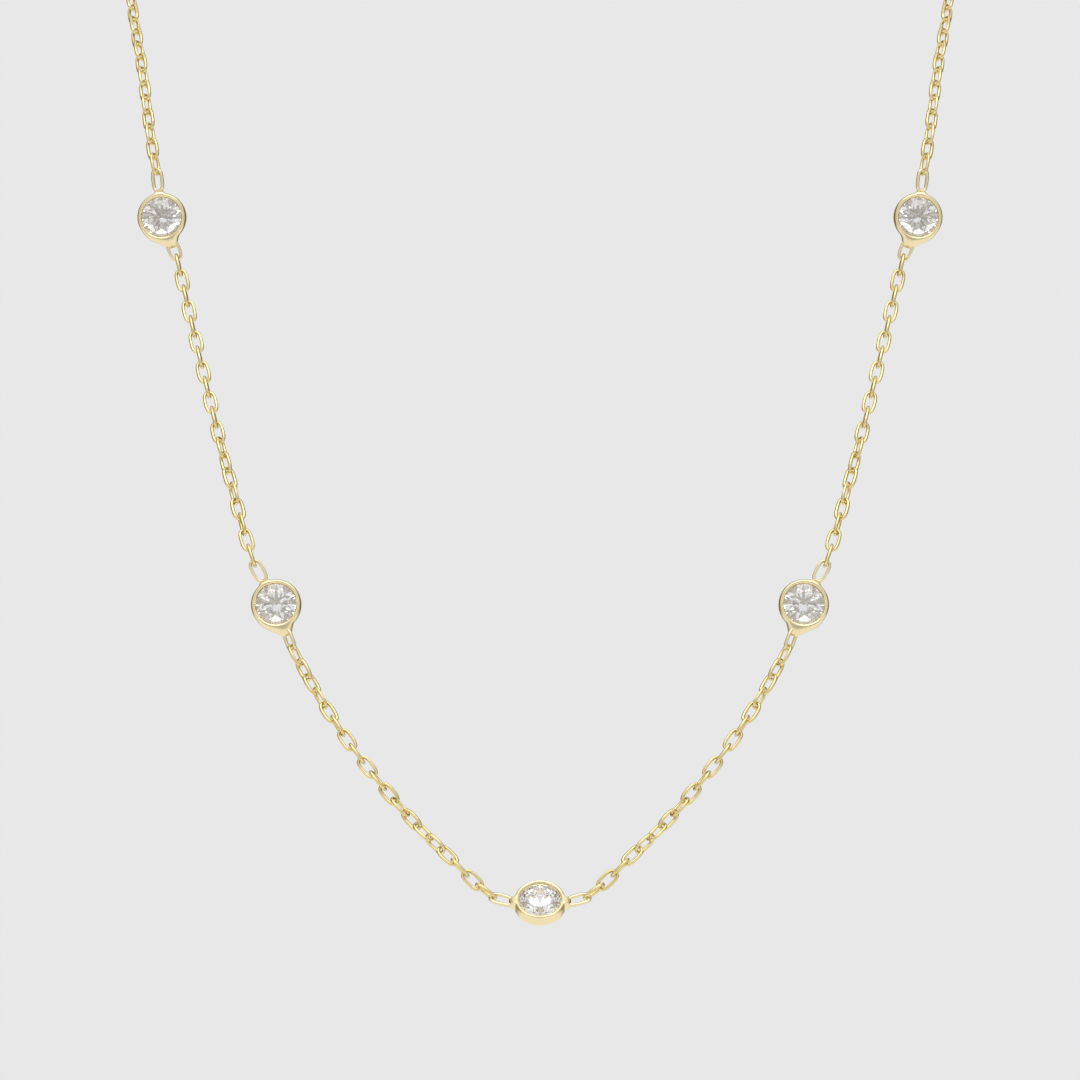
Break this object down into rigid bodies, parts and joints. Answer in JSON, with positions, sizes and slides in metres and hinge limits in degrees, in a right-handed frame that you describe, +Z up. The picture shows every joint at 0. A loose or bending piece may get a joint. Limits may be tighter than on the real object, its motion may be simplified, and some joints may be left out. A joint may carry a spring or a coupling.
{
  "type": "station necklace",
  "caption": "Fine gold cable chain necklace with round brilliant stones set at even stations round its front, closed with a ring clasp at the nape.",
  "frame": {"origin": "the nape: the middle of the clasp group at the back of the loop, where the necklace hangs on the neck", "axes": "+Z up, the stones face -Y, +X to the viewer's right"},
  "size_m": [0.1034, 0.1064, 0.1398],
  "materials": {
    "gold_setting": "polished yellow gold plate",
    "gold_chain": "polished yellow gold plate",
    "gold_clasp": "polished yellow gold plate",
    "stone": "clear, cut and polished"
  },
  "bodies": {
    "root": {"centre_setting": "gold_setting", "centre_stone": "stone", "left_lower_setting": "gold_setting", "left_lower_stone": "stone", "right_lower_setting": "gold_setting", "right_lower_stone": "stone", "left_upper_setting": "gold_setting", "left_upper_stone": "stone", "right_upper_setting": "gold_setting", "right_upper_stone": "stone", "left_front_chain": "gold_chain", "left_side_chain": "gold_chain", "left_back_chain": "gold_chain", "right_front_chain": "gold_chain", "right_side_chain": "gold_chain", "right_back_chain": "gold_chain", "clasp": "gold_clasp", "end_ring": "gold_clasp"}
  },
  "joints": []
}
